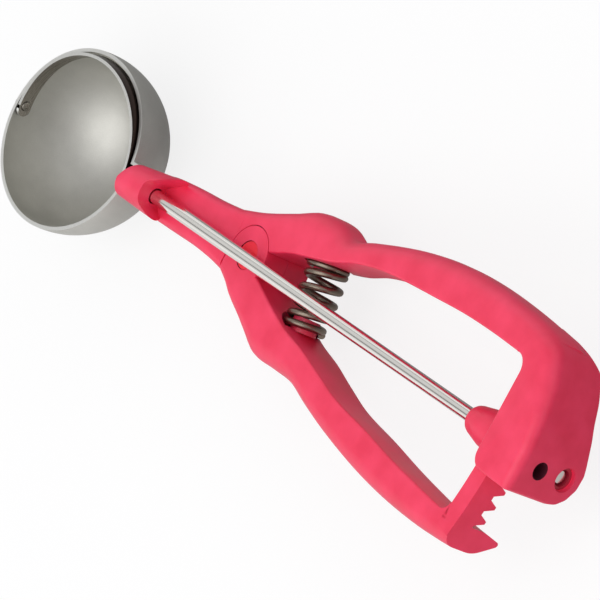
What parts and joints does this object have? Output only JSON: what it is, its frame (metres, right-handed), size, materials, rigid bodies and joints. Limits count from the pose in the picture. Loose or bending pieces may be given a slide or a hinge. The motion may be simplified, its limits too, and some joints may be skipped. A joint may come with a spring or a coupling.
{
  "type": "ice cream scoop",
  "caption": "Lever ice cream scoop with a half-round bowl, a sweep arm on a geared rod, and squeeze grips on a pivot with a return spring.",
  "frame": {"origin": "centre of the ball that the bowl is part of, on the drive rod's line", "axes": "+X along the drive rod from the bowl to the end of the handle, +Y from the rod towards the fixed grip, +Z out of the bowl's mouth"},
  "size_m": [0.2415, 0.065, 0.0447],
  "materials": {
    "bowl_steel": "satin stainless steel",
    "scraper_steel": "bright stainless strip",
    "sleeve_steel": "satin steel",
    "bush_plastic": "natural bearing plastic",
    "rod_steel": "polished stainless rod",
    "red_plastic": "smooth moulded plastic",
    "pivot_plastic": "smooth moulded plastic",
    "spring_steel": "drawn spring wire"
  },
  "bodies": {
    "frame": {"fixed_handle": "red_plastic", "bowl": "bowl_steel", "bowl_sleeve": "sleeve_steel", "front_bush": "bush_plastic", "rear_bush": "red_plastic", "scraper_rivet": "scraper_steel", "scraper_washer": "scraper_steel", "pivot_pin": "pivot_plastic", "pivot_cap": "pivot_plastic", "return_spring": "spring_steel"},
    "lever": {"lever_handle": "red_plastic"},
    "drive": {"drive_rod": "rod_steel", "pinion": "red_plastic", "pinion_pin": "rod_steel", "scraper": "scraper_steel"}
  },
  "joints": [
    {"name": "lever_pivot", "type": "hinge", "parent": "frame", "child": "lever", "pos_m": [0.0745, 0.0006, -0.003], "axis": [-0.1564, 0, 0.9877], "range_deg": [0, 7.3], "stiffness_Nm_per_rad": 4, "springref_deg": -8.59, "deforming": ["return_spring"]},
    {"name": "rod_spin", "type": "hinge", "parent": "frame", "child": "drive", "pos_m": [0, 0, 0], "axis": [1, 0, 0], "range_deg": [-158, 0]}
  ],
  "couplings": [
    {"joint": "rod_spin", "follows": "lever_pivot", "ratio": -21.603}
  ]
}
